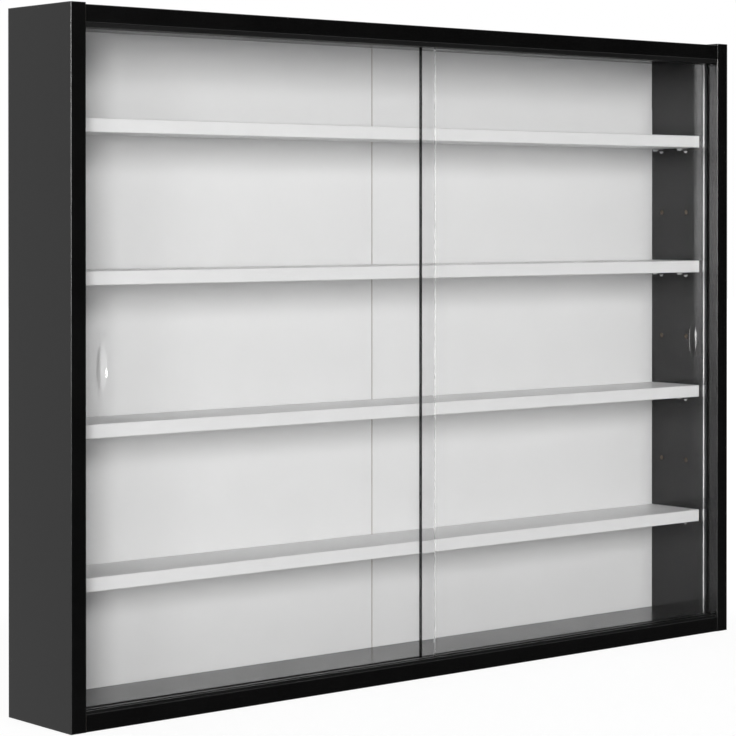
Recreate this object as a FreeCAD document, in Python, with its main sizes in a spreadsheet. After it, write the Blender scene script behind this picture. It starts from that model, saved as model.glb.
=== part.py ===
import FreeCAD, Part
import os
import Sketcher

# A wall display cabinet: a shallow box of black boards with a white two-piece back,
# four white shelves on spoon pins and two glass doors that slide in double tracks.
# Millimetres. z = 0 is the floor of the cabinet, the front faces -Y, x runs along the width.

SIZES = [
    # overall box and boards
    ("cabinet_width", 800),
    ("cabinet_height", 600),
    ("cabinet_depth", 96),
    ("board_thickness", 15),
    ("top_panel_drop", 1.5),
    ("edge_round", 0.8),
    # hardboard back in two halves, held in rebates of the sides
    ("back_thickness", 2.5),
    ("back_clearance", 0.4),
    ("back_seam_gap", 0.7),
    ("rebate_width", 5),
    ("rebate_stop_gap", 4),
    ("tape_width", 30),
    ("tape_thickness", 0.3),
    ("nail_radius", 0.7),
    ("nail_head_radius", 1.8),
    ("nail_length", 18),
    ("nail_tape_margin", 10),
    ("nail_dowel_margin", 4.5),
    ("nail_clearance", 0.05),
    # shelves and the spoon pins that carry them
    ("shelf_thickness", 12),
    ("shelf_track_gap", 6),
    ("shelf_end_gap", 0.75),
    ("shelf_back_gap", 0.3),
    ("pin_row_pitch", 64),
    ("pin_front_inset", 18.8),
    ("pin_rear_inset", 13.6),
    ("pin_hole_radius", 2.5),
    ("pin_hole_depth", 9),
    ("pin_clearance", 0.05),
    ("pin_end_gap", 1),
    ("pin_collar_radius", 2.9),
    ("pin_collar_thickness", 1),
    ("pin_neck_length", 3.5),
    ("spoon_length", 12),
    ("spoon_width", 8),
    ("spoon_thickness", 1.5),
    # glass doors
    ("glass_thickness", 4),
    ("glass_arris", 0.4),
    ("glass_running_gap", 0.2),
    ("door_overlap", 7),
    ("door_side_gap", 0.5),
    ("right_door_ajar", 3),
    ("door_engagement", 4),
    ("door_lift_margin", 1.2),
    ("pull_length", 38),
    ("pull_width", 11),
    ("pull_depth", 2),
    ("pull_edge_distance", 17.5),
    # double-channel tracks
    ("track_setback", 1.8),
    ("track_front_rib", 2.2),
    ("track_middle_rib", 5),
    ("track_rear_rib", 1.5),
    ("track_floor", 1.5),
    ("track_edge_round", 0.3),
    ("track_end_gap", 0.5),
    ("track_seat_clearance", 0.1),
    ("channel_clearance", 0.5),
    ("lower_groove_depth", 4),
    ("lower_track_stand", 2),
    ("upper_track_stand", 3.5),
    # knock-down corner joints
    ("dowel_radius", 4),
    ("dowel_clearance", 0.05),
    ("dowel_side_depth", 10),
    ("dowel_panel_depth", 20),
    ("dowel_end_gap", 0.5),
    ("dowel_chamfer", 1),
    ("dowel_track_gap", 9.5),
    ("dowel_rear_inset", 16.2),
    ("cam_radius", 7.5),
    ("cam_clearance", 0.1),
    ("cam_distance", 24),
    ("cam_skin", 2.5),
    ("cam_recess", 0.3),
    ("cam_cross_length", 9),
    ("cam_cross_width", 1.4),
    ("cam_cross_depth", 1.6),
    ("bolt_radius", 2.5),
    ("bolt_clearance", 0.05),
    ("bolt_thread_length", 11),
    ("bolt_end_gap", 0.5),
    ("bolt_collar_clearance", 0.4),
    ("bolt_collar_thickness", 2),
    ("bolt_neck_radius", 1.7),
    ("bolt_neck_length", 4),
    ("bolt_head_radius", 3.3),
    ("bolt_head_thickness", 3),
    ("bolt_head_clearance", 0.7),
    # keyhole hanger plates in the rear edges of the sides
    ("hanger_width", 12),
    ("hanger_height", 50),
    ("hanger_thickness", 1.5),
    ("hanger_top_setback", 10),
    ("hanger_clearance", 0.1),
    ("keyhole_radius", 4.25),
    ("keyhole_slot_width", 4.5),
    ("keyhole_slot_length", 10),
    ("head_recess_margin", 0.6),
    ("head_recess_depth", 7),
    ("screw_radius", 1.6),
    ("screw_clearance", 0.05),
    ("screw_length", 20),
    ("screw_tip", 3),
    ("screw_inset", 6),
    ("countersink_land", 0.2),
]

# Sizes and places worked out from the driving sizes. Depths are counted back from the front plane.
LAYOUT = [
    ("front", "-Sizes.cabinet_depth / 2"),
    ("half_width", "Sizes.cabinet_width / 2"),
    ("half_inner", "half_width - Sizes.board_thickness"),
    ("inner_width", "2 * half_inner"),
    ("mid_board", "Sizes.board_thickness / 2"),
    ("mid_height", "Sizes.cabinet_height / 2"),
    ("top_face", "Sizes.cabinet_height - Sizes.top_panel_drop"),
    ("top_axis", "top_face - mid_board"),
    ("ceiling", "top_face - Sizes.board_thickness"),
    # back
    ("back_rear", "Sizes.cabinet_depth - Sizes.tape_thickness"),
    ("back_front", "back_rear - Sizes.back_thickness"),
    ("back_half_width", "half_inner + Sizes.rebate_width - Sizes.back_clearance - Sizes.back_seam_gap / 2"),
    ("back_height", "top_face - 2 * Sizes.back_clearance"),
    # tracks and doors; the upper channel is deep enough to lift a pane out of the lower one
    ("channel", "Sizes.glass_thickness + 2 * Sizes.channel_clearance"),
    ("rear_channel", "Sizes.track_front_rib + channel + Sizes.track_middle_rib"),
    ("track_width", "rear_channel + channel + Sizes.track_rear_rib"),
    ("track_rear", "Sizes.track_setback + track_width"),
    ("track_length", "inner_width - 2 * Sizes.track_end_gap"),
    ("lower_track_height", "Sizes.lower_groove_depth + Sizes.lower_track_stand"),
    ("sill", "Sizes.board_thickness - Sizes.lower_groove_depth + Sizes.track_floor"),
    ("lower_lip", "lower_track_height - Sizes.track_floor - Sizes.glass_running_gap"),
    ("door_lift", "lower_lip + Sizes.door_lift_margin"),
    ("upper_track_height", "Sizes.track_floor + Sizes.door_engagement + door_lift"),
    ("upper_groove_depth", "upper_track_height - Sizes.upper_track_stand"),
    ("front_glass", "Sizes.track_setback + Sizes.track_front_rib + Sizes.channel_clearance"),
    ("rear_glass", "Sizes.track_setback + rear_channel + Sizes.channel_clearance"),
    ("door_bottom", "sill + Sizes.glass_running_gap"),
    ("door_top", "ceiling - Sizes.upper_track_stand + Sizes.door_engagement"),
    ("door_height", "door_top - door_bottom"),
    ("door_width", "half_inner + Sizes.door_overlap / 2 - Sizes.door_side_gap"),
    ("pull_wheel", "(Sizes.pull_length ^ 2 / 4 + Sizes.pull_depth ^ 2) / (2 * Sizes.pull_depth)"),
    ("pull_rim", "(Sizes.pull_width ^ 2 / 4 + Sizes.pull_depth ^ 2) / (2 * Sizes.pull_depth)"),
    # shelves and pins
    ("shelf_length", "inner_width - 2 * Sizes.shelf_end_gap"),
    ("shelf_front", "track_rear + Sizes.shelf_track_gap"),
    ("shelf_rear", "back_front - Sizes.shelf_back_gap"),
    ("pin_front", "shelf_front + Sizes.pin_front_inset"),
    ("pin_rear", "shelf_rear - Sizes.pin_rear_inset"),
    ("pin_shank_radius", "Sizes.pin_hole_radius - Sizes.pin_clearance"),
    ("pin_shank_length", "Sizes.pin_hole_depth - Sizes.pin_end_gap"),
    ("spoon_tip", "Sizes.spoon_length - Sizes.spoon_width / 2"),
    ("spoon_base", "Sizes.pin_hole_radius - Sizes.spoon_thickness"),
    # corner joints
    ("dowel_front", "track_rear + Sizes.dowel_track_gap"),
    ("dowel_rear", "back_front - Sizes.dowel_rear_inset"),
    ("dowel_body_radius", "Sizes.dowel_radius - Sizes.dowel_clearance"),
    ("dowel_length", "Sizes.dowel_side_depth + Sizes.dowel_panel_depth"),
    ("dowel_side_bore", "Sizes.dowel_side_depth + Sizes.dowel_end_gap"),
    ("dowel_panel_bore", "Sizes.dowel_panel_depth + Sizes.dowel_end_gap"),
    ("cam_setback", "(dowel_front + dowel_rear) / 2"),
    ("cam_bore_depth", "Sizes.board_thickness - Sizes.cam_skin"),
    ("cam_drum_radius", "Sizes.cam_radius - Sizes.cam_clearance"),
    ("cam_axis", "mid_board - Sizes.cam_recess"),
    ("cam_tunnel", "Sizes.bolt_head_radius + Sizes.cam_clearance"),
    ("bolt_thread_radius", "Sizes.bolt_radius - Sizes.bolt_clearance"),
    ("bolt_thread_bore", "Sizes.bolt_thread_length + Sizes.bolt_end_gap"),
    ("bolt_bore_radius", "Sizes.bolt_head_radius + Sizes.bolt_head_clearance"),
    ("bolt_collar_radius", "bolt_bore_radius - Sizes.bolt_collar_clearance"),
    ("bolt_end", "Sizes.cam_distance + Sizes.bolt_head_thickness / 2"),
    ("bolt_head_start", "bolt_end - Sizes.bolt_head_thickness"),
    ("bolt_neck_start", "bolt_head_start - Sizes.bolt_neck_length"),
    # nails, clear of the tape at the seam and of the dowels at the ends
    ("nail_hole_radius", "Sizes.nail_radius + Sizes.nail_clearance"),
    ("nail_seam_inset", "Sizes.tape_width / 2 + Sizes.nail_tape_margin"),
    ("nail_end_inset", "dowel_panel_bore + Sizes.nail_dowel_margin"),
    ("nail_pitch", "(half_inner - nail_seam_inset - nail_end_inset) / 3"),
    # hangers
    ("hanger_top", "Sizes.cabinet_height - Sizes.hanger_top_setback"),
    ("hanger_bottom", "hanger_top - Sizes.hanger_height"),
    ("hanger_side", "(Sizes.board_thickness - Sizes.hanger_width) / 2"),
    ("hanger_middle", "Sizes.hanger_width / 2"),
    ("rebate_stop", "hanger_bottom - Sizes.rebate_stop_gap"),
    ("back_notch", "rebate_stop - 2 * Sizes.back_clearance"),
    ("keyhole_entry", "(Sizes.hanger_height - Sizes.keyhole_slot_length) / 2"),
    ("keyhole_top", "keyhole_entry + Sizes.keyhole_slot_length"),
    ("head_recess_radius", "Sizes.keyhole_radius + Sizes.head_recess_margin"),
    ("screw_hole_radius", "Sizes.screw_radius + Sizes.screw_clearance"),
    ("screw_bore_depth", "Sizes.screw_length + Sizes.screw_clearance"),
    ("countersink", "Sizes.hanger_thickness - Sizes.countersink_land"),
    ("upper_screw", "Sizes.hanger_height - Sizes.screw_inset"),
]

# A cut that opens on a face runs this far past it.
OVERRUN = "1"
FULL_TURN = 360
ACROSS = FreeCAD.Vector(1, 0, 0)
UPWARD = FreeCAD.Vector(0, 0, 1)
SLANT = 0.001
UPSIDE_DOWN = FreeCAD.Rotation(FreeCAD.Vector(0, 1, 0), 180)

# Rows of pin holes are counted from the middle of the height; each shelf lies on one of them.
PIN_ROWS = range(-3, 4)
SHELF_ROWS = {1: 3, 2: 1, 3: -1, 4: -3}
NAILS_PER_EDGE = range(4)

doc = FreeCAD.newDocument("wall_display_cabinet")
nodes = []


def fill_sheet(name, rows):
    """A sheet with one named cell per row: a number, or a formula on other cells."""
    sheet = doc.addObject("Spreadsheet::Sheet", name)
    for line, (alias, content) in enumerate(rows, start=1):
        sheet.set(f"A{line}", alias)
        sheet.set(f"B{line}", f"={content}" if isinstance(content, str) else str(content))
        sheet.setAlias(f"B{line}", alias)
    doc.recompute()
    return sheet


sizes = fill_sheet("Sizes", SIZES)
layout = fill_sheet("Layout", LAYOUT)


def number(expression):
    """The present value of an expression on the sheets."""
    return float(sizes.evalExpression(expression))


def new_body(label, x, y, z, turned=False):
    """A body whose place is bound to the sheets; a turned one lies upside down."""
    body = doc.addObject("PartDesign::Body", label)
    body.Label = label
    if turned:
        body.Placement = FreeCAD.Placement(FreeCAD.Vector(), UPSIDE_DOWN)
    for axis, expression in zip("xyz", (x, y, z)):
        body.setExpression(f"Placement.Base.{axis}", expression)
    return body


def new_sketch(body, role, lift="0"):
    """A sketch on one of the body's own planes, lifted along the plane's normal."""
    plane = next(item for item in body.Origin.OriginFeatures if item.Role == role)
    sketch = body.newObject("Sketcher::SketchObject", body.Name + "_sketch")
    sketch.AttachmentSupport = [(plane, "")]
    sketch.MapMode = "FlatFace"
    sketch.setExpression("AttachmentOffset.Base.z", lift)
    return sketch


def hold_point(sketch, geometry, vertex, x, y):
    """Dimension a sketch point from the origin."""
    for kind, expression in (("DistanceX", x), ("DistanceY", y)):
        rule = Sketcher.Constraint(kind, -1, 1, geometry, vertex, number(expression))
        sketch.setExpression(f"Constraints[{sketch.addConstraint(rule)}]", expression)


def outline(sketch, points):
    """A closed outline of straight lines through dimensioned corners."""
    corners = [FreeCAD.Vector(number(x), number(y), 0) for x, y in points]
    first = sketch.GeometryCount
    count = len(points)
    for index, corner in enumerate(corners):
        sketch.addGeometry(Part.LineSegment(corner, corners[(index + 1) % count]), False)
    for index, (x, y) in enumerate(points):
        following = first + (index + 1) % count
        sketch.addConstraint(Sketcher.Constraint("Coincident", first + index, 2, following, 1))
        hold_point(sketch, first + index, 1, x, y)
    return sketch


def rectangle(sketch, left, low, right, high):
    return outline(sketch, [(left, low), (right, low), (right, high), (left, high)])


def circles(sketch, centres, radius):
    for x, y in centres:
        centre = FreeCAD.Vector(number(x), number(y), 0)
        ring = Part.Circle(centre, UPWARD, number(radius))
        index = sketch.addGeometry(ring, False)
        hold_point(sketch, index, 3, x, y)
        rule = Sketcher.Constraint("Radius", index, number(radius))
        sketch.setExpression(f"Constraints[{sketch.addConstraint(rule)}]", radius)
    return sketch


def pad(body, sketch, length, reverse=False):
    feature = body.newObject("PartDesign::Pad", body.Name + "_pad")
    feature.Profile = sketch
    feature.setExpression("Length", length)
    feature.Reversed = reverse
    doc.recompute()
    return feature


def compare_cut(feature, before):
    """A cut that misses the solid raises no error of its own."""
    doc.recompute()
    if not feature.Shape.Volume < before:
        raise RuntimeError(f"{feature.Name} cuts nothing")
    return feature


def pocket(body, sketch, depth, along_normal=False):
    """Cut against the sketch's normal, or along it."""
    before = body.Shape.Volume
    feature = body.newObject("PartDesign::Pocket", body.Name + "_pocket")
    feature.Profile = sketch
    feature.setExpression("Length", depth)
    feature.Reversed = along_normal
    return compare_cut(feature, before)


def turn(body, sketch, axis):
    """A turned solid from a half section."""
    feature = body.newObject("PartDesign::Revolution", body.Name + "_turned")
    feature.Profile = sketch
    feature.ReferenceAxis = (sketch, [axis])
    feature.Angle = FULL_TURN
    doc.recompute()
    return feature


def turned_cut(body, sketch, axis):
    """A cut made by a half section that turns round an axis."""
    before = body.Shape.Volume
    feature = body.newObject("PartDesign::Groove", body.Name + "_groove")
    feature.Profile = sketch
    feature.ReferenceAxis = (sketch, [axis])
    feature.Angle = FULL_TURN
    return compare_cut(feature, before)


def edges_along(shape, direction, above):
    """Names of the straight edges that run along a direction, above a height."""
    return [f"Edge{index}" for index, edge in enumerate(shape.Edges, start=1)
            if edge.tangentAt(edge.FirstParameter).cross(direction).Length < SLANT
            and edge.CenterOfMass.z > above]


def round_edges(body, direction, radius, above="-1"):
    """Round the long edges, as an edge bander or an extruder leaves them."""
    base = body.Tip
    feature = body.newObject("PartDesign::Fillet", body.Name + "_rounded")
    feature.Base = (base, edges_along(base.Shape, direction, number(above)))
    feature.setExpression("Radius", radius)
    doc.recompute()
    return feature


def chamfer_all(body, size):
    """Break every edge of the solid made so far."""
    base = body.Tip
    feature = body.newObject("PartDesign::Chamfer", body.Name + "_chamfer")
    feature.Base = (base, ["Edge1"])
    feature.UseAllEdges = True
    feature.setExpression("Size", size)
    doc.recompute()
    return feature


def mirror_image(label, source):
    """The same piece on the other side of the cabinet."""
    twin = doc.addObject("Part::Mirroring", label)
    twin.Label = label
    twin.Source = source
    twin.Normal = ACROSS
    doc.recompute()
    return twin


def both_sides(label, pieces):
    """One node of separate solids: pieces at the left and their mirror images at the right."""
    twins = [mirror_image(f"{piece.Label}_twin", piece) for piece in pieces]
    compound = doc.addObject("Part::Compound", label)
    compound.Label = label
    compound.Links = pieces + twins
    doc.recompute()
    return compound


def box(label, x, y, z, size_x, size_y, size_z):
    """A plain board from its low corner."""
    body = new_body(label, x, y, z)
    pad(body, rectangle(new_sketch(body, "XY_Plane"), "0", "0", size_x, size_y), size_z)
    return body


def add(*pieces):
    nodes.extend(pieces)


def side_panel():
    """Left side: pin holes, joint bores and back rebate inside, hanger seat in the rear edge."""
    board = "Sizes.board_thickness"
    body = box("left_side_panel", "-Layout.half_width", "Layout.front", "0",
               board, "Sizes.cabinet_depth", "Sizes.cabinet_height")
    round_edges(body, UPWARD, "Sizes.edge_round")
    rebate = rectangle(new_sketch(body, "XY_Plane"), f"{board} - Sizes.rebate_width", "Layout.back_front",
                       f"{board} + {OVERRUN}", f"Sizes.cabinet_depth + {OVERRUN}")
    pocket(body, rebate, "Layout.rebate_stop", along_normal=True)

    rows = [f"Layout.mid_height + {row} * Sizes.pin_row_pitch" for row in PIN_ROWS]
    pin_holes = [(column, row) for column in ("Layout.pin_front", "Layout.pin_rear") for row in rows]
    ends = ("Layout.mid_board", "Layout.top_axis")
    dowel_holes = [(y, z) for y in ("Layout.dowel_front", "Layout.dowel_rear") for z in ends]
    bolt_holes = [("Layout.cam_setback", z) for z in ends]
    for centres, radius, depth in (
        (pin_holes, "Sizes.pin_hole_radius", "Sizes.pin_hole_depth"),
        (dowel_holes, "Sizes.dowel_radius", "Layout.dowel_side_bore"),
        (bolt_holes, "Sizes.bolt_radius", "Layout.bolt_thread_bore"),
    ):
        pocket(body, circles(new_sketch(body, "YZ_Plane", board), centres, radius), depth)

    rear = "-Sizes.cabinet_depth"
    seat = rectangle(new_sketch(body, "XZ_Plane", rear),
                     "Layout.hanger_side - Sizes.hanger_clearance",
                     "Layout.hanger_bottom - Sizes.hanger_clearance",
                     f"{board} - Layout.hanger_side + Sizes.hanger_clearance",
                     "Layout.hanger_top + Sizes.hanger_clearance")
    pocket(body, seat, "Sizes.hanger_thickness", along_normal=True)
    recess = rectangle(new_sketch(body, "XZ_Plane", rear),
                       "Layout.mid_board - Layout.head_recess_radius",
                       "Layout.hanger_bottom + Layout.keyhole_entry - Layout.head_recess_radius",
                       "Layout.mid_board + Layout.head_recess_radius",
                       "Layout.hanger_bottom + Layout.keyhole_top + Layout.head_recess_radius")
    pocket(body, recess, "Sizes.hanger_thickness + Sizes.head_recess_depth", along_normal=True)
    screw_holes = [("Layout.mid_board", f"Layout.hanger_bottom + {height}")
                   for height in ("Sizes.screw_inset", "Layout.upper_screw")]
    pilots = circles(new_sketch(body, "XZ_Plane", rear), screw_holes, "Layout.screw_hole_radius")
    pocket(body, pilots, "Layout.screw_bore_depth", along_normal=True)
    return body


def nail_places(sign):
    """Places of a row of nails from the seam towards one side."""
    return [f"{sign} * (Layout.nail_seam_inset + {step} * Layout.nail_pitch)" for step in NAILS_PER_EDGE]


def cross_panel(label, groove_depth, z, turned):
    """Top or bottom: track groove on the inner face, cam bores on the outer, joint bores in the ends."""
    board = "Sizes.board_thickness"
    depth = "Layout.back_front"
    x = "Layout.half_inner" if turned else "-Layout.half_inner"
    body = new_body(label, x, "Layout.front", z, turned)
    pad(body, rectangle(new_sketch(body, "XY_Plane"), "0", "0", "Layout.inner_width", depth), board)
    round_edges(body, ACROSS, "Sizes.edge_round")

    groove = rectangle(new_sketch(body, "YZ_Plane"),
                       "Sizes.track_setback - Sizes.track_seat_clearance", f"{board} - {groove_depth}",
                       "Layout.track_rear + Sizes.track_seat_clearance", f"{board} + {OVERRUN}")
    pocket(body, groove, "Layout.inner_width", along_normal=True)

    dowels = [(y, "Layout.mid_board") for y in ("Layout.dowel_front", "Layout.dowel_rear")]
    bolts = [("Layout.cam_setback", "Layout.mid_board")]
    for end, inward in (("0", True), ("Layout.inner_width", False)):
        dowel_bores = circles(new_sketch(body, "YZ_Plane", end), dowels, "Sizes.dowel_radius")
        pocket(body, dowel_bores, "Layout.dowel_panel_bore", along_normal=inward)
        bolt_bore = circles(new_sketch(body, "YZ_Plane", end), bolts, "Layout.bolt_bore_radius")
        pocket(body, bolt_bore, "Sizes.cam_distance", along_normal=inward)

    cams = [("Sizes.cam_distance", "Layout.cam_setback"),
            ("Layout.inner_width - Sizes.cam_distance", "Layout.cam_setback")]
    cam_bores = circles(new_sketch(body, "XY_Plane"), cams, "Sizes.cam_radius")
    pocket(body, cam_bores, "Layout.cam_bore_depth", along_normal=True)

    nails = [(f"Layout.half_inner + {place}", "Layout.mid_board")
             for sign in (-1, 1) for place in nail_places(sign)]
    nail_bores = circles(new_sketch(body, "XZ_Plane", f"-{depth}"), nails, "Layout.nail_hole_radius")
    pocket(body, nail_bores, "Sizes.nail_length", along_normal=True)
    return body


def frame_dowels():
    body = new_body("frame_dowels_left", "-Layout.half_inner - Sizes.dowel_side_depth", "Layout.front", "0")
    axes = [(y, z) for y in ("Layout.dowel_front", "Layout.dowel_rear")
            for z in ("Layout.mid_board", "Layout.top_axis")]
    pad(body, circles(new_sketch(body, "YZ_Plane"), axes, "Layout.dowel_body_radius"), "Layout.dowel_length")
    chamfer_all(body, "Sizes.dowel_chamfer")
    return both_sides("frame_dowels", [body])


def cam_bolt(label, z):
    """Thread in the side, collar at the joint, slim neck and head inside the cam."""
    body = new_body(label, "-Layout.half_inner", "Layout.front + Layout.cam_setback", z)
    thread, collar = "Layout.bolt_thread_radius", "Layout.bolt_collar_radius"
    neck, head = "Sizes.bolt_neck_radius", "Sizes.bolt_head_radius"
    start, shoulder = "-Sizes.bolt_thread_length", "Sizes.bolt_collar_thickness"
    neck_start, head_start, end = "Layout.bolt_neck_start", "Layout.bolt_head_start", "Layout.bolt_end"
    section = [(start, "0"), (start, thread), ("0", thread), ("0", collar), (shoulder, collar),
               (shoulder, thread), (neck_start, thread), (neck_start, neck), (head_start, neck),
               (head_start, head), (end, head), (end, "0")]
    turn(body, outline(new_sketch(body, "XY_Plane"), section), "H_Axis")
    return body


def cam_lock(label, x, z, turned):
    """Drum with a tunnel for the bolt's head and a cross slot in its outer face."""
    body = new_body(label, x, "Layout.front + Layout.cam_setback", z, turned)
    drum, tunnel = "Layout.cam_drum_radius", "Layout.cam_tunnel"
    pad(body, circles(new_sketch(body, "XY_Plane"), [("0", "0")], drum),
        "Layout.cam_bore_depth - Sizes.cam_recess")
    mouth = rectangle(new_sketch(body, "YZ_Plane", f"-{drum} - {OVERRUN}"),
                      f"-{tunnel}", f"Layout.cam_axis - {tunnel}", tunnel, f"Layout.cam_axis + {tunnel}")
    pocket(body, mouth, f"{drum} + {OVERRUN} + Sizes.bolt_head_thickness", along_normal=True)
    length, width = "Sizes.cam_cross_length / 2", "Sizes.cam_cross_width / 2"
    for half_x, half_y in ((length, width), (width, length)):
        slot = rectangle(new_sketch(body, "XY_Plane"), f"-{half_x}", f"-{half_y}", half_x, half_y)
        pocket(body, slot, "Sizes.cam_cross_depth", along_normal=True)
    return body


def back_half():
    """Left half of the back, notched round the hanger at its upper outer corner."""
    body = new_body("back_panel_left", "-Layout.half_inner - Sizes.rebate_width + Sizes.back_clearance",
                    "Layout.front + Layout.back_front", "Sizes.back_clearance")
    width, height = "Layout.back_half_width", "Layout.back_height"
    outer, notch = "Sizes.rebate_width", "Layout.back_notch"
    corners = [("0", "0"), (width, "0"), (width, height), (outer, height), (outer, notch), ("0", notch)]
    pad(body, outline(new_sketch(body, "XZ_Plane"), corners), "Sizes.back_thickness", reverse=True)
    seam = f"{width} + Sizes.back_seam_gap / 2"
    holes = [(f"{seam} + {place}", f"{row} - Sizes.back_clearance")
             for place in nail_places(-1) for row in ("Layout.mid_board", "Layout.top_axis")]
    pocket(body, circles(new_sketch(body, "XZ_Plane"), holes, "Layout.nail_hole_radius"),
           "Sizes.back_thickness")
    return body


def back_nails():
    """Flat-headed nails whose heads lie level with the tape."""
    body = new_body("back_panel_nails", "0", "Layout.front + Layout.back_rear", "0")
    spots = [(place, row) for sign in (-1, 1) for place in nail_places(sign)
             for row in ("Layout.mid_board", "Layout.top_axis")]
    pad(body, circles(new_sketch(body, "XZ_Plane"), spots, "Sizes.nail_radius"), "Sizes.nail_length")
    pad(body, circles(new_sketch(body, "XZ_Plane"), spots, "Sizes.nail_head_radius"),
        "Sizes.tape_thickness", reverse=True)
    return body


def hanger_plate():
    """Keyhole plate for the rear edge of the left side, with two countersunk screw holes."""
    thickness = "Sizes.hanger_thickness"
    body = new_body("left_hanger_plate", "-Layout.half_width + Layout.hanger_side",
                    f"Layout.front + Sizes.cabinet_depth - {thickness}", "Layout.hanger_bottom")
    blank = rectangle(new_sketch(body, "XZ_Plane"), "0", "0", "Sizes.hanger_width", "Sizes.hanger_height")
    pad(body, blank, thickness, reverse=True)
    middle, half_slot = "Layout.hanger_middle", "Sizes.keyhole_slot_width / 2"
    slot = rectangle(new_sketch(body, "XZ_Plane"), f"{middle} - {half_slot}", "Layout.keyhole_entry",
                     f"{middle} + {half_slot}", "Layout.keyhole_top")
    pocket(body, slot, thickness)
    rounds = {"Layout.keyhole_entry": "Sizes.keyhole_radius", "Layout.keyhole_top": half_slot}
    for height, radius in rounds.items():
        pocket(body, circles(new_sketch(body, "XZ_Plane"), [(middle, height)], radius), thickness)
    small = "Layout.screw_hole_radius"
    for height in ("Sizes.screw_inset", "Layout.upper_screw"):
        cone = new_sketch(body, "XY_Plane", height)
        cone.setExpression("AttachmentOffset.Base.x", middle)
        outline(cone, [("0", "0"), (small, "0"), (small, "Sizes.countersink_land"),
                       (f"{small} + Layout.countersink", thickness), ("0", thickness)])
        turned_cut(body, cone, "V_Axis")
    return body


def hanger_screw(label, height):
    """Countersunk screw, its head level with the plate."""
    body = new_body(label, "-Layout.half_width + Layout.mid_board",
                    "Layout.front + Sizes.cabinet_depth", f"Layout.hanger_bottom + {height}")
    shank = "Sizes.screw_radius"
    section = [("0", "0"), (f"{shank} + Layout.countersink", "0"), (shank, "-Layout.countersink"),
               (shank, "Sizes.screw_tip - Sizes.screw_length"), ("0", "-Sizes.screw_length")]
    turn(body, outline(new_sketch(body, "XY_Plane"), section), "V_Axis")
    return body


def shelf_pins(label, row):
    """Spoon pins: shank in the side, collar against it, flat spoon level with the shelf's underside."""
    body = new_body(f"{label}_left", "-Layout.half_inner", "Layout.front", row)
    columns = ("Layout.pin_front", "Layout.pin_rear")
    axes = [(column, "0") for column in columns]
    shank = "Layout.pin_shank_radius"
    for radius, length, outward in (
        (shank, "Layout.pin_shank_length", True),
        ("Sizes.pin_collar_radius", "Sizes.pin_collar_thickness", False),
        (shank, "Sizes.pin_neck_length", False),
    ):
        pad(body, circles(new_sketch(body, "YZ_Plane"), axes, radius), length, reverse=outward)
    half_spoon = "Sizes.spoon_width / 2"
    blades = new_sketch(body, "XY_Plane", "Layout.spoon_base")
    for column in columns:
        rectangle(blades, "0", f"{column} - {half_spoon}", "Layout.spoon_tip", f"{column} + {half_spoon}")
    pad(body, blades, "Sizes.spoon_thickness")
    tips = [("Layout.spoon_tip", column) for column in columns]
    pad(body, circles(new_sketch(body, "XY_Plane", "Layout.spoon_base"), tips, half_spoon),
        "Sizes.spoon_thickness")
    trim = rectangle(new_sketch(body, "XY_Plane", "Sizes.pin_hole_radius"),
                     "0", "0", "Sizes.spoon_length", "Sizes.cabinet_depth")
    pocket(body, trim, "Sizes.pin_collar_radius", along_normal=True)
    return both_sides(label, [body])


def shelf_with_pins(index, row):
    """A shelf that lies on the spoons of one row of pins."""
    row_height = f"Layout.mid_height + {row} * Sizes.pin_row_pitch"
    shelf = box(f"shelf_{index}", "-Layout.shelf_length / 2", "Layout.front + Layout.shelf_front",
                f"{row_height} + Sizes.pin_hole_radius",
                "Layout.shelf_length", "Layout.shelf_rear - Layout.shelf_front", "Sizes.shelf_thickness")
    round_edges(shelf, ACROSS, "Sizes.edge_round")
    return shelf, shelf_pins(f"shelf_{index}_pins", row_height)


def track(label, height, z, turned):
    """Double-channel profile with three ribs, open towards the door."""
    x = "Layout.track_length / 2" if turned else "-Layout.track_length / 2"
    body = new_body(label, x, "Layout.front + Sizes.track_setback", z, turned)
    floor, width = "Sizes.track_floor", "Layout.track_width"
    section = [("0", height), ("0", "0"), (width, "0"), (width, height)]
    for channel in ("Layout.rear_channel", "Sizes.track_front_rib"):
        far = f"{channel} + Layout.channel"
        section += [(far, height), (far, floor), (channel, floor), (channel, height)]
    pad(body, outline(new_sketch(body, "YZ_Plane"), section), "Layout.track_length")
    round_edges(body, ACROSS, "Sizes.track_edge_round", above=floor)
    return body


def glass_door(label, x, depth, pull):
    """A pane with ground arrises and a finger pull cut by the rim of a grinding wheel."""
    body = box(label, x, f"Layout.front + {depth}", "Layout.door_bottom",
               "Layout.door_width", "Sizes.glass_thickness", "Layout.door_height")
    chamfer_all(body, "Sizes.glass_arris")
    rim = new_sketch(body, "XY_Plane", "Layout.door_height / 2")
    rim.setExpression("AttachmentOffset.Base.y", "Sizes.pull_depth - Layout.pull_wheel")
    circles(rim, [(pull, "Layout.pull_wheel - Layout.pull_rim")], "Layout.pull_rim")
    turned_cut(body, rim, "H_Axis")
    return body


def build_frame():
    left = side_panel()
    add(left, mirror_image("right_side_panel", left))
    add(cross_panel("top_panel", "Layout.upper_groove_depth", "Layout.top_face", turned=True))
    add(cross_panel("bottom_panel", "Sizes.lower_groove_depth", "0", turned=False))
    add(frame_dowels())
    heights = {"lower": "Layout.mid_board", "upper": "Layout.top_axis"}
    add(both_sides("cam_bolts", [cam_bolt(f"{name}_cam_bolt", z) for name, z in heights.items()]))
    cam_x = "Layout.half_inner - Sizes.cam_distance"
    add(both_sides("cam_locks", [
        cam_lock("lower_cam_lock", f"-({cam_x})", "Sizes.cam_recess", turned=False),
        cam_lock("upper_cam_lock", cam_x, "Layout.top_face - Sizes.cam_recess", turned=True)]))


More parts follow.
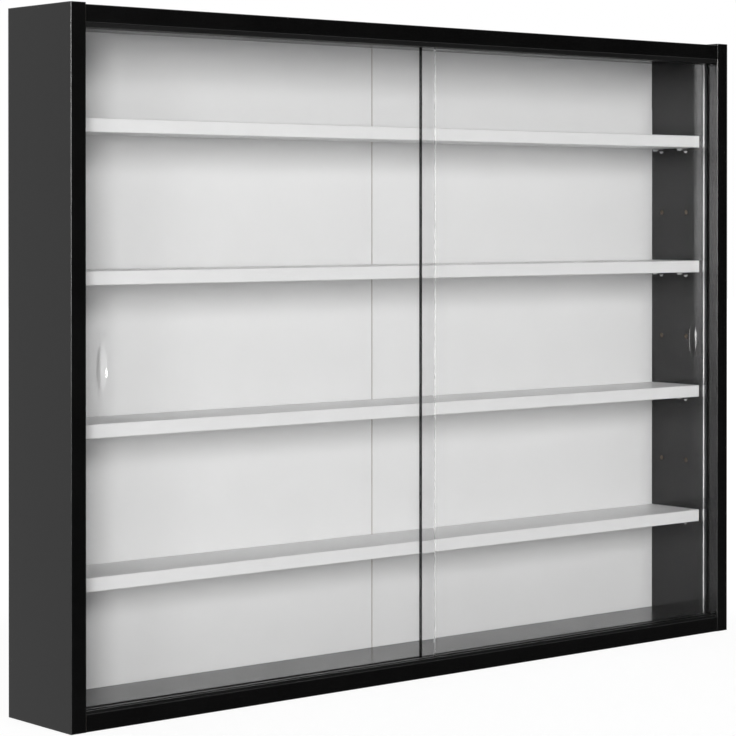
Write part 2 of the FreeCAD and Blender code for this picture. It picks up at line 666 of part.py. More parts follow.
def build_back():
    half = back_half()
    add(half, mirror_image("back_panel_right", half))
    add(box("back_hinge_tape", "-Sizes.tape_width / 2", "Layout.front + Layout.back_rear",
            "Sizes.back_clearance", "Sizes.tape_width", "Sizes.tape_thickness", "Layout.back_height"))
    add(back_nails())


def build_hangers():
    plate = hanger_plate()
    add(plate, mirror_image("right_hanger_plate", plate))
    add(both_sides("hanger_screws", [hanger_screw("lower_hanger_screw", "Sizes.screw_inset"),
                                     hanger_screw("upper_hanger_screw", "Layout.upper_screw")]))


def build_shelves():
    for index, row in SHELF_ROWS.items():
        add(*shelf_with_pins(index, row))


def build_doors():
    add(track("lower_track", "Layout.lower_track_height",
              "Sizes.board_thickness - Sizes.lower_groove_depth", turned=False))
    add(track("upper_track", "Layout.upper_track_height",
              "Layout.ceiling + Layout.upper_groove_depth", turned=True))
    add(glass_door("glass_door_left", "-Layout.half_inner + Sizes.door_side_gap", "Layout.front_glass",
                   "Sizes.pull_edge_distance"))
    closed = "Layout.half_inner - Sizes.door_side_gap - Layout.door_width"
    add(glass_door("glass_door_right", f"{closed} - Sizes.right_door_ajar", "Layout.rear_glass",
                   "Layout.door_width - Sizes.pull_edge_distance"))


def check_and_write():
    doc.recompute()
    for item in doc.Objects:
        if "Invalid" in item.State or "Error" in item.State:
            raise RuntimeError(f"{item.Label} failed: {item.State}")
    for node in nodes:
        if node.Shape.isNull() or not node.Shape.isValid():
            raise RuntimeError(f"{node.Label} has no valid shape")
    os.makedirs("parts", exist_ok=True)
    for node in nodes:
        node.Shape.exportStep(f"parts/{node.Label}.step")
        print(f"{node.Label}: {len(node.Shape.Solids)} solids, {node.Shape.Volume:.0f} mm3")


build_frame()
build_back()
build_hangers()
build_shelves()
build_doors()
check_and_write()
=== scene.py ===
# %% [markdown]
# # A wall display cabinet with sliding glass doors
# The cabinet is a shallow black box with a white back, four white shelves on small spoon pins, and two
# glass panes that slide past each other in plastic tracks. Its sawn, drilled and ground shapes come from
# the construction model, already in place and in metres: X runs along the cabinet, the front faces -Y and
# Z is up. This script gives every surface its finish, sets out the small repeated fittings and lights it.

# %% Load the cabinet's own shapes
import math

import bmesh
import bpy
from mathutils import Matrix, Vector


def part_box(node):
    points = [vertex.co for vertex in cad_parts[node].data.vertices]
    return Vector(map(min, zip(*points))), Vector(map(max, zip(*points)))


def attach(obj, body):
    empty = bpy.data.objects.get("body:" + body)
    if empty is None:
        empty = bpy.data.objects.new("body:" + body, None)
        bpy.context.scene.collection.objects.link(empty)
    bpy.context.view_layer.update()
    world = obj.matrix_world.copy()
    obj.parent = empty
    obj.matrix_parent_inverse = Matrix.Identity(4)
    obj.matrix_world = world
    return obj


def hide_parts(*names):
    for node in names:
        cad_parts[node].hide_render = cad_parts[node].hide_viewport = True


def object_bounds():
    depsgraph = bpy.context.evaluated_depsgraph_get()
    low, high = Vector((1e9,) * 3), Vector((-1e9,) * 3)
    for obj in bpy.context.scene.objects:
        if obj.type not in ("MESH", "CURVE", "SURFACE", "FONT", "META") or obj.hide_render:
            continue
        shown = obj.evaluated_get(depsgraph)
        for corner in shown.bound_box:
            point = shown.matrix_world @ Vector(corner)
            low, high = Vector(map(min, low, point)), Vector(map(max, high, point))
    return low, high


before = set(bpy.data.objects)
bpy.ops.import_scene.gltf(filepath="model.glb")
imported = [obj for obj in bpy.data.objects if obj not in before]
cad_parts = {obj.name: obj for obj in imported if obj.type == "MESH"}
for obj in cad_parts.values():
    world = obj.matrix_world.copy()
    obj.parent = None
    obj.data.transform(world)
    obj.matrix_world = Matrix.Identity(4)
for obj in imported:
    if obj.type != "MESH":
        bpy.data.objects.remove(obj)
cad_low, cad_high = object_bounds()
MM = 0.001
print("cabinet size in mm:", [round(side / MM, 1) for side in cad_high - cad_low])

# %% [markdown]
# ## The camera
# The picture was taken from the front left with a long lens, a little above the middle of the cabinet,
# and the frame was then moved down so that the upright boards stay upright. A long lens and a lens
# shift do the same here: the camera looks almost level, and the shift lowers the frame.

# %% Camera at the picture's viewing angle
STANDS_AT = (-1.52705, -1.7558, 0.42553)
TURNED_BY = (89.666, 0, -40.232)
FILM_WIDTH, LENS = 36, 121.69
FRAME_LOWERED = -0.1885

camera = bpy.data.objects.new("camera", bpy.data.cameras.new("camera"))
bpy.context.collection.objects.link(camera)
camera.location = STANDS_AT
camera.rotation_euler = [math.radians(angle) for angle in TURNED_BY]
camera.data.sensor_width = FILM_WIDTH
camera.data.lens = LENS
camera.data.shift_y = FRAME_LOWERED
bpy.context.scene.camera = camera
bpy.context.scene.view_settings.view_transform = "Standard"
print("camera stands", round(camera.location.length, 2), "m from the cabinet's foot")

# %% [markdown]
# ## Helpers for every finish
# Colours are written the way a paint chart gives them, as sRGB hex values, while the renderer wants linear
# light. A finish is a small tree of nodes, so one helper adds a node, sets what it is told to set and
# links whatever it is handed: a plain value goes on the socket, another node is linked to it. The others
# say what a maker would say: grain of a size, a number between two others, a blend, a pressed texture.

# %% Colour and node helpers
def linear(hex_code):
    """An sRGB hex colour as linear red, green, blue and alpha."""
    parts = [int(hex_code[i:i + 2], 16) / 255 for i in (1, 3, 5)]
    return [p / 12.92 if p <= 0.04045 else ((p + 0.055) / 1.055) ** 2.4 for p in parts] + [1.0]


def node(tree, kind, inputs=None, **settings):
    """Adds a node with its settings; inputs hold plain values, nodes (their first output) or sockets."""
    made = tree.nodes.new(kind)
    for name, value in settings.items():
        setattr(made, name, value)
    for name, value in (inputs or {}).items():
        if isinstance(value, bpy.types.Node):
            value = next(socket for socket in value.outputs if socket.enabled)
        if isinstance(value, bpy.types.NodeSocket):
            tree.links.new(value, made.inputs[name])
        else:
            made.inputs[name].default_value = value
    return made


def new_finish(name):
    """An empty material with its tree, its Object coordinates and its shader already on the output."""
    finish = bpy.data.materials.new(name)
    finish.use_nodes = True
    tree = finish.node_tree
    tree.nodes.clear()
    where = node(tree, "ShaderNodeTexCoord").outputs["Object"]
    shader = node(tree, "ShaderNodeBsdfPrincipled")
    node(tree, "ShaderNodeOutputMaterial", {"Surface": shader})
    return finish, tree, where, shader


def show(tree, mixed):
    """Puts a mixed shader on the output, in place of the plain one."""
    output = next(n for n in tree.nodes if n.type == "OUTPUT_MATERIAL")
    tree.links.new(mixed.outputs[0], output.inputs["Surface"])


def grain(tree, where, size_mm, detail=3.0):
    """Noise whose blotches are about size_mm across."""
    return node(tree, "ShaderNodeTexNoise",
                {"Vector": where, "Scale": 1 / (size_mm * MM), "Detail": detail}).outputs["Fac"]


def between(tree, amount, low, high, from_low=0.3, from_high=0.7):
    """A number that runs from low to high as amount goes from from_low to from_high."""
    return node(tree, "ShaderNodeMapRange", {"Value": amount, "From Min": from_low, "From Max": from_high,
                                             "To Min": low, "To Max": high}).outputs["Result"]


def combine(tree, operation, first, second):
    """Two numbers added, multiplied or compared."""
    return node(tree, "ShaderNodeMath", {0: first, 1: second}, operation=operation).outputs[0]


def blend(tree, amount, first, second):
    """A colour that goes from first to second; each is a hex value or a colour socket."""
    first, second = [linear(c) if isinstance(c, str) else c for c in (first, second)]
    return node(tree, "ShaderNodeMix", {0: amount, 6: first, 7: second}, data_type="RGBA").outputs[2]


def press(tree, shader, height, depth_mm, strength):
    """Bump of the given depth, from a height between 0 and 1."""
    bump = node(tree, "ShaderNodeBump",
                {"Height": height, "Distance": depth_mm * MM, "Strength": strength})
    tree.links.new(bump.outputs["Normal"], shader.inputs["Normal"])


def wear(finish, *names):
    """Puts a finish on CAD nodes through their material slots."""
    for name in names:
        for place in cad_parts[name].material_slots:
            place.material = finish


# %% [markdown]
# ## The studio
# A product photographer lights such a cabinet with soft boxes in a white room. The main box stands right
# behind the camera and lights the back under the shelves, a small one helps it from the left, and a wide
# one hangs in front and higher and drops the soft shadow of each shelf on the back. The black left side
# mirrors the white room behind it, while the glass and the black front edges mirror the front right, which
# is kept dark. So the world follows the direction a ray takes: white for the camera, light or dark for
# mirrored and refracted rays, and for the rest a fill, low in front and stronger behind the cabinet.

# %% World, floor and soft boxes
DARK_SIDE = Vector((0.56, -0.82, 0.12)).normalized()
ROOM_LEVEL, DARK_LEVEL = 0.6, 0.012
FRONT_FILL, REAR_FILL = 0.1, 0.8
FLOOR_REACH = 8.0
BOX_DISTANCE = 8.0


def studio_world():
    world = bpy.data.worlds.new("studio")
    world.use_nodes = True
    tree = world.node_tree
    tree.nodes.clear()
    direction = node(tree, "ShaderNodeTexCoord").outputs["Generated"]
    darker = node(tree, "ShaderNodeVectorMath", {0: direction, 1: DARK_SIDE}, operation="DOT_PRODUCT")
    mirrored = between(tree, darker.outputs["Value"], ROOM_LEVEL, DARK_LEVEL, 0.05, 0.97)
    behind = node(tree, "ShaderNodeSeparateXYZ", {0: direction}).outputs["Y"]
    fill = between(tree, behind, FRONT_FILL, REAR_FILL, 0.0, 0.8)
    rays = node(tree, "ShaderNodeLightPath").outputs
    shines = combine(tree, "MAXIMUM", rays["Is Glossy Ray"], rays["Is Transmission Ray"])
    level = node(tree, "ShaderNodeMix", {0: shines, 2: fill, 3: mirrored}, data_type="FLOAT")
    level = node(tree, "ShaderNodeMix", {0: rays["Is Camera Ray"], 2: level, 3: 1.0}, data_type="FLOAT")
    back = node(tree, "ShaderNodeBackground", {"Color": linear("#ffffff"), "Strength": level})
    node(tree, "ShaderNodeOutputWorld", {"Surface": back})
    return world


def floor_paper():
    """White paper that stays white to the camera and keeps a soft shadow near the cabinet."""
    paper, tree, where, shader = new_finish("paper_white_matt")
    shader.inputs["Base Color"].default_value = linear("#f2f2f2")
    shader.inputs["Roughness"].default_value = 0.9
    far = node(tree, "ShaderNodeVectorMath", {0: where}, operation="LENGTH").outputs["Value"]
    share = between(tree, far, 0.8, 1.0, 0.45, 0.9)
    seen = node(tree, "ShaderNodeLightPath").outputs["Is Camera Ray"]
    glow = node(tree, "ShaderNodeEmission", {"Color": linear("#ffffff"), "Strength": 1.12})
    seen = combine(tree, "MULTIPLY", seen, share)
    show(tree, node(tree, "ShaderNodeMixShader", {0: seen, 1: shader, 2: glow}))
    return paper


def soft_box(name, azimuth, elevation, width, height, watts):
    """A soft box turned to the cabinet; azimuth 0 is straight in front and grows to the right."""
    box = bpy.data.objects.new(name, bpy.data.lights.new(name, "AREA"))
    bpy.context.collection.objects.link(box)
    box.data.shape = "RECTANGLE"
    box.data.size, box.data.size_y, box.data.energy = width, height, watts
    across, up = math.radians(azimuth), math.radians(elevation)
    aim = Vector((0, 0, 0.3))
    away = Vector((math.sin(across) * math.cos(up), -math.cos(across) * math.cos(up), math.sin(up)))
    box.location = aim + away * BOX_DISTANCE
    box.rotation_euler = (-away).to_track_quat("-Z", "Y").to_euler()
    # a box that shone back out of the panes' ends would draw a hard white line there
    box.visible_transmission = False
    print(name, [round(value, 2) for value in box.location], watts, "W")


bpy.context.scene.world = studio_world()
floor_mesh = bpy.data.meshes.new("floor")
corners = [(x * FLOOR_REACH, y * FLOOR_REACH, 0) for x, y in ((-1, -1), (1, -1), (1, 1), (-1, 1))]
floor_mesh.from_pydata(corners, [], [(0, 1, 2, 3)])
floor = bpy.data.objects.new("floor", floor_mesh)
bpy.context.collection.objects.link(floor)
floor.location.z = cad_low.z - 0.0005
floor.visible_glossy = False
floor.visible_transmission = False
floor.data.materials.append(floor_paper())
soft_box("soft_box_behind_camera", azimuth=-41, elevation=5, width=1.8, height=2.0, watts=465)
soft_box("soft_box_left", azimuth=-60, elevation=9, width=1.4, height=1.4, watts=145)
soft_box("soft_box_high", azimuth=3, elevation=22, width=3.2, height=1.8, watts=245)

# %% [markdown]
# ## Black melamine board
# The frame is chipboard faced with black paper soaked in melamine resin and pressed against a satin plate.
# The eye gets a deep even black with a soft mirror in it, a paler line along each arris, partly where it has
# rubbed and partly a painted highlight, and brown chips wherever a drill or a saw went through the facing.
# Both come from the board's own box: a point that lies deeper than the facing in all three directions was
# cut, and on an arris two of the three distances to the faces are small at once, so their middle value is
# the distance to the nearest arris.

# %% Arrises, cuts and the black finish
BETWEEN_SIDES = ("top_panel", "bottom_panel")


def board_distances(tree, where, board):
    """How deep a point lies inside the board's box, and how far it is from an arris, in metres."""
    low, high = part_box(board)
    offset = node(tree, "ShaderNodeVectorMath", {0: where, 1: (low + high) / 2}, operation="SUBTRACT")
    offset = node(tree, "ShaderNodeVectorMath", {0: offset}, operation="ABSOLUTE")
    inside = node(tree, "ShaderNodeVectorMath", {0: (high - low) / 2, 1: offset}, operation="SUBTRACT")
    x, y, z = node(tree, "ShaderNodeSeparateXYZ", {0: inside}).outputs
    if board in BETWEEN_SIDES:
        # their sawn ends are hidden in the joints, where nothing rubs, so the ends are left out
        x = combine(tree, "ADD", x, 1.0)
    least = combine(tree, "MINIMUM", combine(tree, "MINIMUM", x, y), z)
    most = combine(tree, "MAXIMUM", combine(tree, "MAXIMUM", x, y), z)
    total = combine(tree, "ADD", combine(tree, "ADD", x, y), z)
    return least, combine(tree, "SUBTRACT", combine(tree, "SUBTRACT", total, least), most)


def chipboard(tree, where, dark, pale):
    """Pressed chips of about 2 mm, each with its own tone."""
    chips = node(tree, "ShaderNodeTexVoronoi", {"Vector": where, "Scale": 1 / (2 * MM)}).outputs["Color"]
    return blend(tree, between(tree, chips, 0, 1, 0.2, 0.8), dark, pale)


def black_melamine(board):
    finish, tree, where, shader = new_finish(f"melamine_black_satin_pressed.{board}")
    deep, arris = board_distances(tree, where, board)
    face = blend(tree, grain(tree, where, 9), "#040404", "#080808")
    # the paler arris line is partly rubbed wear and partly a painted highlight of the room mirrored in the
    # rounded edge
    rubbed_and_highlight = combine(tree, "MULTIPLY", between(tree, arris, 1, 0, 0, 1.1 * MM),
                     between(tree, grain(tree, where, 14), 0.6, 1.0))
    face = blend(tree, rubbed_and_highlight, face, "#2a2a2a")
    cut = between(tree, deep, 0, 1, 0.35 * MM, 0.5 * MM)
    # in the drilled holes the chips are darker, partly from resin the drill rubs in and partly painted shade
    # deep in the hole, while the sawn edge at the wall has no band and shows them as they are
    face = blend(tree, cut, face, chipboard(tree, where, "#463e35", "#6d6153"))
    if board not in BETWEEN_SIDES:
        rear = node(tree, "ShaderNodeSeparateXYZ", {0: where}).outputs["Y"]
        wall_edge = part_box(board)[1].y
        sawn = between(tree, rear, 0, 1, wall_edge - 0.3 * MM, wall_edge - 0.2 * MM)
        face = blend(tree, sawn, face, chipboard(tree, where, "#7d6a52", "#c4ad8b"))
        cut = combine(tree, "MAXIMUM", cut, sawn)
    tree.links.new(face, shader.inputs["Base Color"])
    satin = between(tree, grain(tree, where, 60), 0.17, 0.23)
    rough = node(tree, "ShaderNodeMix", {0: cut, 2: satin, 3: 0.9}, data_type="FLOAT")
    tree.links.new(rough.outputs[0], shader.inputs["Roughness"])
    # the press plate's pebbles are about 0.4 mm, drawn at 1.5 mm so that they show
    press(tree, shader, grain(tree, where, 1.5, 2), 0.012, 0.15)
    return finish


for board in ("left_side_panel", "right_side_panel", *BETWEEN_SIDES):
    wear(black_melamine(board), board)
print("four boards wear black melamine")

# %% [markdown]
# ## White melamine shelves
# The shelves are the same kind of board in white, with a band on the front edge. The resin paper is never
# quite even, and hands leave the arrises a touch greyer.

# %% The white finish
def white_melamine(board):
    finish, tree, where, shader = new_finish(f"melamine_white_satin_pressed.{board}")
    arris = board_distances(tree, where, board)[1]
    face = blend(tree, grain(tree, where, 25), "#d7d7d7", "#dbdbdb")
    handled = combine(tree, "MULTIPLY", between(tree, arris, 1, 0, 0, 0.9 * MM),
                      between(tree, grain(tree, where, 18), 0.1, 0.8))
    tree.links.new(blend(tree, handled, face, "#c6c6c6"), shader.inputs["Base Color"])
    tree.links.new(between(tree, grain(tree, where, 50), 0.36, 0.44), shader.inputs["Roughness"])
    press(tree, shader, grain(tree, where, 1.5, 2), 0.015, 0.15)
    return finish


SHELVES = [f"shelf_{number}" for number in (1, 2, 3, 4)]
for shelf in SHELVES:
    wear(white_melamine(shelf), shelf)
print("white melamine on", len(SHELVES), "shelves")

# %% [markdown]
# ## Lacquered hardboard back
# The back is thin hardboard. Its front is roller-lacquered white, which leaves a very slight orange peel.
# Its rear is raw brown fibre with the print of the wire screen that the wet mat was pressed on. One finish
# does both: the surface normal says which face it is. A strip of paper tape joins the halves behind.

# %% Hardboard and its paper tape
def lacquered_hardboard():
    finish, tree, where, shader = new_finish("hardboard_roller_lacquered_white")
    normal = node(tree, "ShaderNodeSeparateXYZ", {0: node(tree, "ShaderNodeTexCoord").outputs["Normal"]})
    raw = between(tree, normal.outputs["Y"], 0, 1, -0.6, -0.5)
    lacquer = blend(tree, grain(tree, where, 30), "#d3d3d3", "#d7d7d7")
    fibre = blend(tree, grain(tree, where, 3, 6), "#5f4632", "#86674a")
    tree.links.new(blend(tree, raw, lacquer, fibre), shader.inputs["Base Color"])
    smooth = between(tree, grain(tree, where, 40), 0.42, 0.5)
    rough = node(tree, "ShaderNodeMix", {0: raw, 2: smooth, 3: 0.85}, data_type="FLOAT")
    tree.links.new(rough.outputs[0], shader.inputs["Roughness"])
    # the screen's wires lie 1.3 mm apart, drawn at 3 mm so that they show
    wires = [node(tree, "ShaderNodeTexWave", {"Vector": where, "Scale": 0.314 / (3 * MM)},
                  bands_direction=axis).outputs["Fac"] for axis in ("X", "Z")]
    screen = combine(tree, "MULTIPLY", combine(tree, "MULTIPLY", wires[0], wires[1]), raw)
    peel = combine(tree, "MULTIPLY", grain(tree, where, 2.5, 3), 0.2)
    press(tree, shader, combine(tree, "ADD", screen, peel), 0.1, 0.3)
    return finish


def paper_tape():
    finish, tree, where, shader = new_finish("paper_tape_white_creped")
    tree.links.new(blend(tree, grain(tree, where, 4, 5), "#c9c5bd", "#dad7d0"), shader.inputs["Base Color"])
    shader.inputs["Roughness"].default_value = 0.8
    press(tree, shader, grain(tree, where, 1.2, 3), 0.04, 0.4)
    return finish


wear(lacquered_hardboard(), "back_panel_left", "back_panel_right")
wear(paper_tape(), "back_hinge_tape")
print("hardboard back and its tape are dressed")

# %% [markdown]
# ## Float glass
# Float glass is dead flat and clear, so only its edges and the hollows of the finger pulls show. The edges
# are ground on a belt and polished until a slight haze is left; the surface normal picks them out. They
# mirror the white back inside the pane, or lead the eye along it into the dark. Light reaches the shelves
# through the panes, so lamp rays and bounced light pass straight through a Transparent shader while the
# camera gets the real refraction.

# %% The glass finish
def float_glass():
    finish, tree, where, shader = new_finish("float_glass_ground_edges")
    normal = node(tree, "ShaderNodeSeparateXYZ", {0: node(tree, "ShaderNodeTexCoord").outputs["Normal"]})
    level = node(tree, "ShaderNodeMath", {0: normal.outputs["Y"]}, operation="ABSOLUTE")
    edge = between(tree, level, 1, 0, 0.5, 0.7)
    belt = blend(tree, grain(tree, where, 0.8, 2), "#c4cbc8", "#d6dbd9")
    tree.links.new(blend(tree, edge, "#ffffff", belt), shader.inputs["Base Color"])
    tree.links.new(between(tree, edge, 0.0, 0.08, 0, 1), shader.inputs["Roughness"])
    shader.inputs["IOR"].default_value = 1.52
    shader.inputs["Transmission Weight"].default_value = 1.0
    rays = node(tree, "ShaderNodeLightPath").outputs
    passes = combine(tree, "MAXIMUM", rays["Is Shadow Ray"], rays["Is Diffuse Ray"])
    clear = node(tree, "ShaderNodeBsdfTransparent", {"Color": linear("#f7f7f7")})
    show(tree, node(tree, "ShaderNodeMixShader", {0: passes, 1: shader, 2: clear}))
    return finish


wear(float_glass(), "glass_door_left", "glass_door_right")
print("two panes of float glass")

# %% [markdown]
# ## Extruded tracks, steel and dowels
# The tracks are black plastic pushed through a die, which leaves faint lines along them. The fittings are
# nickel-plated or zinc-plated steel, and the dowels inside the joints are beech.

# %% Finishes of the small parts
def extruded_plastic():
    finish, tree, where, shader = new_finish("rigid_vinyl_black_extruded")
    along = node(tree, "ShaderNodeMapping", {"Vector": where, "Scale": (0.02, 1, 1)}).outputs[0]
    tree.links.new(blend(tree, grain(tree, along, 1.2), "#0a0a0a", "#101010"), shader.inputs["Base Color"])
    tree.links.new(between(tree, grain(tree, along, 1.5), 0.36, 0.46), shader.inputs["Roughness"])
    shader.inputs["Specular IOR Level"].default_value = 0.25
    press(tree, shader, grain(tree, along, 0.8, 2), 0.02, 0.25)
    return finish


def plated_steel(name, dark, pale, rough_low, rough_high):
    finish, tree, where, shader = new_finish(name)
    tree.links.new(blend(tree, grain(tree, where, 3, 4), dark, pale), shader.inputs["Base Color"])
    shader.inputs["Metallic"].default_value = 1.0
    tree.links.new(between(tree, grain(tree, where, 2), rough_low, rough_high), shader.inputs["Roughness"])
    press(tree, shader, grain(tree, where, 0.8, 2), 0.01, 0.15)
    return finish


def turned_beech():
    finish, tree, where, shader = new_finish("beech_dowel_turned")
    along = node(tree, "ShaderNodeMapping", {"Vector": where, "Scale": (0.1, 1, 1)}).outputs[0]
    fibres = blend(tree, grain(tree, along, 0.8, 4), "#c79e6d", "#ddb98a")
    tree.links.new(fibres, shader.inputs["Base Color"])
    shader.inputs["Roughness"].default_value = 0.65
    press(tree, shader, grain(tree, along, 0.6, 2), 0.05, 0.3)
    return finish


nickel = plated_steel("steel_nickel_plated_pressed", "#b6b6b6", "#cdcdcd", 0.16, 0.28)
zinc = plated_steel("steel_zinc_plated", "#a5a8ab", "#bfc2c4", 0.3, 0.45)
wear(extruded_plastic(), "upper_track", "lower_track")
wear(zinc, "left_hanger_plate", "right_hanger_plate", "hanger_screws", "cam_locks", "cam_bolts",
     "back_panel_nails")
wear(nickel, *[f"{shelf}_pins" for shelf in SHELVES])
wear(turned_beech(), "frame_dowels")
print("small parts are dressed")

# %% [markdown]
# ## Rows of small fittings
# Pins, nails and screws come by the dozen, in straight rows, and each row has its mirror image on the
# other side of the cabinet. One node tree sets out any of them: it puts a fitting on the points of a grid,
# gives each a random turn if it was driven in, stands the grid on its face and mirrors it. A fitting is
# drawn once, with Z out of the face it sits in and Y up.

# %% A tree that sets out rows of fittings
INPUTS = {"Fitting": "Object", "Columns": "Int", "Rows": "Int", "Column Spacing": "Float",
          "Row Spacing": "Float", "Most Turn": "Float", "Seed": "Int", "Centre": "Vector",
          "Facing": "Vector", "Finish": "Material"}


def rows_of_fittings():
    tree = bpy.data.node_groups.new("rows_of_fittings", "GeometryNodeTree")
    for name, kind in INPUTS.items():
        tree.interface.new_socket(name, in_out="INPUT", socket_type=f"NodeSocket{kind}")
    tree.interface.new_socket("Fittings", in_out="OUTPUT", socket_type="NodeSocketGeometry")
    given = node(tree, "NodeGroupInput").outputs
    sides = [combine(tree, "MULTIPLY", combine(tree, "SUBTRACT", given[count], 1), given[spacing])
             for count, spacing in (("Columns", "Column Spacing"), ("Rows", "Row Spacing"))]
    grid = node(tree, "GeometryNodeMeshGrid", {"Size X": sides[0], "Size Y": sides[1],
                                               "Vertices X": given["Columns"], "Vertices Y": given["Rows"]})
    fitting = node(tree, "GeometryNodeObjectInfo", {"Object": given["Fitting"]}).outputs["Geometry"]
    turn = node(tree, "FunctionNodeRandomValue", {2: 0.0, 3: given["Most Turn"], "Seed": given["Seed"]},
                data_type="FLOAT").outputs[1]
    spin = node(tree, "ShaderNodeCombineXYZ", {"Z": turn})
    placed = node(tree, "GeometryNodeInstanceOnPoints",
                  {"Points": grid, "Instance": fitting, "Rotation": spin})
    real = node(tree, "GeometryNodeRealizeInstances", {0: placed})
    stood = node(tree, "GeometryNodeTransform", {"Geometry": real, "Translation": given["Centre"],
                                                 "Rotation": given["Facing"]})
    mirrored = node(tree, "GeometryNodeTransform", {"Geometry": stood, "Scale": (-1, 1, 1)})
    both = node(tree, "GeometryNodeJoinGeometry", {0: stood})
    tree.links.new(mirrored.outputs[0], both.inputs[0])
    dressed = node(tree, "GeometryNodeSetMaterial", {"Geometry": both, "Material": given["Finish"]})
    node(tree, "NodeGroupOutput", {"Fittings": dressed})
    return tree


FITTING_ROWS = rows_of_fittings()


def set_out(name, fitting, **values):
    """Lays a fitting out in rows on both sides of the cabinet, as one mesh, and returns it."""
    fitting.materials.append(values["Finish"])
    pattern = bpy.data.objects.new(f"{name}_pattern", fitting)
    holder = bpy.data.objects.new(f"{name}_rows", bpy.data.meshes.new(f"{name}_rows"))
    for helper in (pattern, holder):
        bpy.context.collection.objects.link(helper)
    rows = holder.modifiers.new("rows", "NODES")
    rows.node_group = FITTING_ROWS
    values = {"Fitting": pattern, "Seed": 7, "Most Turn": 0.0, **values}
    for socket in FITTING_ROWS.interface.items_tree:
        if socket.in_out == "INPUT":
            rows[socket.identifier] = values[socket.name]
    mesh = bpy.data.meshes.new_from_object(holder.evaluated_get(bpy.context.evaluated_depsgraph_get()))
    for helper in (pattern, holder):
        bpy.data.objects.remove(helper)
    mesh.name = name
    faces = bmesh.new()
    faces.from_mesh(mesh)
    bmesh.ops.recalc_face_normals(faces, faces=faces.faces)
    faces.to_mesh(mesh)
    faces.free()
    mesh.shade_smooth()
    mesh.set_sharp_from_angle(angle=math.radians(38))
    piece = bpy.data.objects.new(name, mesh)
    bpy.context.collection.objects.link(piece)
    print(name, len(mesh.polygons), "faces,", [m.name for m in mesh.materials])
    return piece


def facing(across, up, out):
    """Euler angles of a fitting whose X, Y and Z point along these directions."""
    return Matrix((across, up, out)).transposed().to_euler()


# %% [markdown]
# ## Spoon pins
# A spoon pin is a short steel rod, turned with a small collar that stops it at the wall, and flattened into
# a round-ended spoon on which the shelf lies. Nickel plating softens all its corners, so the spoon is
# drawn as a stack of outlines with the edges drawn in. The collar is flat on top to clear the shelf.
# Sizes are in mm from the pin's axis and from the wall.

# %% Turned bodies and the spoon pins
PIN_RADIUS, PIN_TOP = 2.45, 2.5
SPOON_HALF, SPOON_ROOT, SPOON_MIDDLE = 4, 0.8, 8


def turned(mesh, profile, sides=28):
    """A body turned about Z from (radius, height) pairs in mm, closed by radius 0; returns its last ring."""
    rings = []
    for radius, height in profile:
        angles = [2 * math.pi * step / sides for step in range(sides if radius else 1)]
        rings.append([mesh.verts.new((radius * MM * math.cos(a), radius * MM * math.sin(a), height * MM))
                      for a in angles])
    for low, high in zip(rings, rings[1:]):
        for step in range(sides):
            ahead = step + 1
            corners = [ring[place % len(ring)] for ring, place in
                       ((low, step), (low, ahead), (high, ahead), (high, step))]
            mesh.faces.new(dict.fromkeys(corners))
    return rings[-1]


def finished_mesh(drawing, name):
    """The drawn fitting as a mesh."""
    mesh = bpy.data.meshes.new(name)
    drawing.to_mesh(mesh)
    drawing.free()
    return mesh


def spoon_pin():
    pin = bmesh.new()
    turned(pin, [(0, -8), (1.9, -8), (PIN_RADIUS, -7.4), (PIN_RADIUS, 0.02), (2.7, 0.02), (2.8, 0.2),
                 (2.8, 0.6), (2.6, 0.8), (2.3, 0.9), (0, 0.9)])
    for corner in pin.verts:
        if corner.co.z > 0:
            corner.co.y = min(corner.co.y, PIN_RADIUS * MM)
    outlines = []
    arc = [math.pi * step / 16 for step in range(17)]
    for height, drawn_in in ((-0.7, 1.6), (-0.5, 0.8), (-0.1, 0.3), (0.5, 0), (2.15, 0), (2.38, 0.12),
                             (2.48, 0.4)):
        half = SPOON_HALF - drawn_in
        nose = [(half * math.cos(a), SPOON_MIDDLE + half * math.sin(a)) for a in arc]
        shape = [(half, SPOON_ROOT)] + nose + [(-half, SPOON_ROOT)]
        outlines.append([pin.verts.new((x * MM, height * MM, z * MM)) for x, z in shape])
    for low, high in zip(outlines, outlines[1:]):
        for step in range(len(low)):
            ahead = (step + 1) % len(low)
            pin.faces.new((low[step], low[ahead], high[ahead], high[step]))
    pin.faces.new(outlines[0])
    pin.faces.new(outlines[-1])
    return finished_mesh(pin, "spoon_pin")


inner_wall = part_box("left_side_panel")[1].x
lowest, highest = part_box("shelf_4_pins"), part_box("shelf_1_pins")
pin_rows = [box[1].z - PIN_TOP * MM for box in (lowest, highest)]
pin_columns = [lowest[0].y + SPOON_HALF * MM, lowest[1].y - SPOON_HALF * MM]
pins = set_out("spoon_pins", spoon_pin(), Finish=nickel, Columns=2, Rows=4,
               **{"Column Spacing": pin_columns[1] - pin_columns[0],
                  "Row Spacing": (pin_rows[1] - pin_rows[0]) / 3},
               Centre=(inner_wall, sum(pin_columns) / 2, sum(pin_rows) / 2),
               Facing=facing((0, 1, 0), (0, 0, 1), (1, 0, 0)))
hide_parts(*[f"{shelf}_pins" for shelf in SHELVES])
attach(pins, "cabinet")

# %% [markdown]
# ## Nails and hanger screws
# The back is held by small flat-headed nails. Their heads come off the heading machine slightly domed and
# end level with the tape. The hanger plates are held by countersunk screws; the recess is a cross that the
# punch leaves wide at the top and narrow at the bottom, and each screw stops at its own angle.

# %% The fittings at the rear
NAIL_HEAD, SEAM_NAIL, SCREW_HEAD = 1.8 * MM, 25 * MM, 2.9 * MM
FULL_TURN, QUARTER_TURN = 6.28, 1.57


def flat_nail():
    nail = bmesh.new()
    turned(nail, [(0, -18), (0.7, -16.5), (0.7, -0.29), (1.7, -0.29), (1.8, -0.2), (1.7, -0.1),
                  (1.2, -0.03), (0, 0)], sides=20)
    return finished_mesh(nail, "flat_nail")


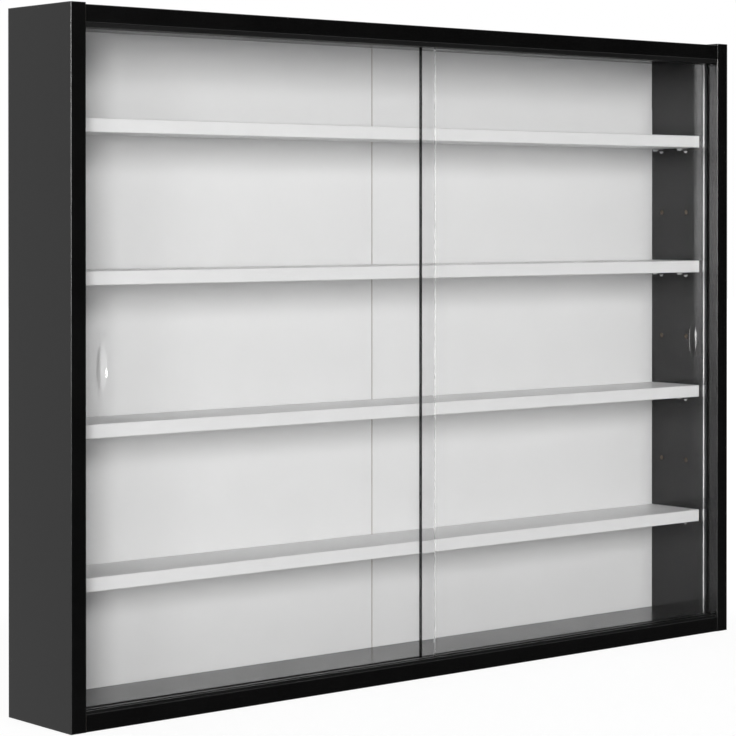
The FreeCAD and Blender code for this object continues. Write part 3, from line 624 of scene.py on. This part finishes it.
def cross_screw():
    screw = bmesh.new()
    rim = turned(screw, [(0, -20), (0.5, -19.2), (1.6, -17), (1.6, -1.3), (2.82, -0.06), (2.7, 0)],
                 sides=24)
    crosses = []
    for a, b, height in ((1.7, 0.42, 0), (0.9, 0.3, -1.1)):
        # half the cross is a, half an arm's width is b
        corners = [(a, -b), (a, b), (b, b), (b, a), (-b, a), (-b, b), (-a, b), (-a, -b), (-b, -b),
                   (-b, -a), (b, -a), (b, -b)]
        crosses.append([screw.verts.new((x * MM, y * MM, height * MM)) for x, y in corners])
    mouth, bottom = crosses
    for step in range(12):
        ahead = (step + 1) % 12
        screw.faces.new((mouth[step], mouth[ahead], bottom[ahead], bottom[step]))
    screw.faces.new(bottom)
    loops = [screw.edges.get((ring[step - 1], ring[step]))
             for ring in (rim, mouth) for step in range(len(ring))]
    bmesh.ops.triangle_fill(screw, edges=loops, use_beauty=True)
    return finished_mesh(screw, "cross_screw")


REAR = facing((-1, 0, 0), (0, 0, 1), (0, 1, 0))
nail_low, nail_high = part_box("back_panel_nails")
end_nail = nail_high.x - NAIL_HEAD
nails = set_out("back_nails", flat_nail(), Finish=zinc, Columns=4, Rows=2, Facing=REAR,
                **{"Column Spacing": (end_nail - SEAM_NAIL) / 3,
                   "Row Spacing": nail_high.z - nail_low.z - 2 * NAIL_HEAD, "Most Turn": FULL_TURN},
                Centre=(-(SEAM_NAIL + end_nail) / 2, nail_high.y, (nail_low.z + nail_high.z) / 2))
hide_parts("back_panel_nails")
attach(nails, "cabinet")

screw_low, screw_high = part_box("hanger_screws")
plate_low, plate_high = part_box("left_hanger_plate")
screws = set_out("cross_screws", cross_screw(), Finish=zinc, Columns=1, Rows=2, Facing=REAR,
                 **{"Column Spacing": 0.0, "Row Spacing": screw_high.z - screw_low.z - 2 * SCREW_HEAD,
                    "Most Turn": QUARTER_TURN},
                 Centre=((plate_low.x + plate_high.x) / 2, screw_high.y, (screw_low.z + screw_high.z) / 2))
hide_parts("hanger_screws")
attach(screws, "cabinet")
